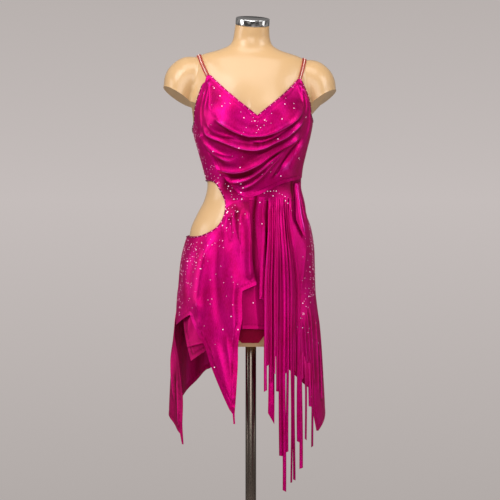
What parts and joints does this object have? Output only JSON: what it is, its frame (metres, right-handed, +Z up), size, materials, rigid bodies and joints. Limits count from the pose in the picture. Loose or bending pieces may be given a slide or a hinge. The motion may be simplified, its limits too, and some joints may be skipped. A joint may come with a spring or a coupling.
{
  "type": "salsa dance dress on a dress form",
  "caption": "Asymmetric satin latin dance dress with a cowl neck, chain straps, side cut-out and long hip fringe, worn by a limbless dress form on a round stand.",
  "frame": {"origin": "middle of the underside of the stand's base, on the floor", "axes": "+Z up along the pole, front of the dress faces -Y, +X towards the wearer's left"},
  "size_m": [0.4192, 0.34, 1.5827],
  "materials": {
    "satin": "glossy stretch satin",
    "crimson_jersey": "matt jersey",
    "form_shell": "glossy beige shell",
    "dark_steel": "dark bronzed, polished",
    "chrome": "polished",
    "crystal_chain": "faceted stones in coral settings"
  },
  "bodies": {
    "root": {"form_torso": "form_shell", "neck_cap": "chrome", "stand_pole": "dark_steel", "stand_base": "dark_steel", "bodice_front": "satin", "bodice_back": "satin", "cowl_drape": "satin", "strap_left": "crystal_chain", "strap_right": "crystal_chain", "waist_yoke": "satin", "overskirt_front": "satin", "side_skirt_left": "satin", "back_skirt": "satin", "underskirt_front": "satin", "brief_front": "crimson_jersey", "brief_back": "crimson_jersey", "centre_ribbon": "satin", "streamer": "satin", "hip_tie": "satin", "fringe": "satin"}
  },
  "joints": []
}
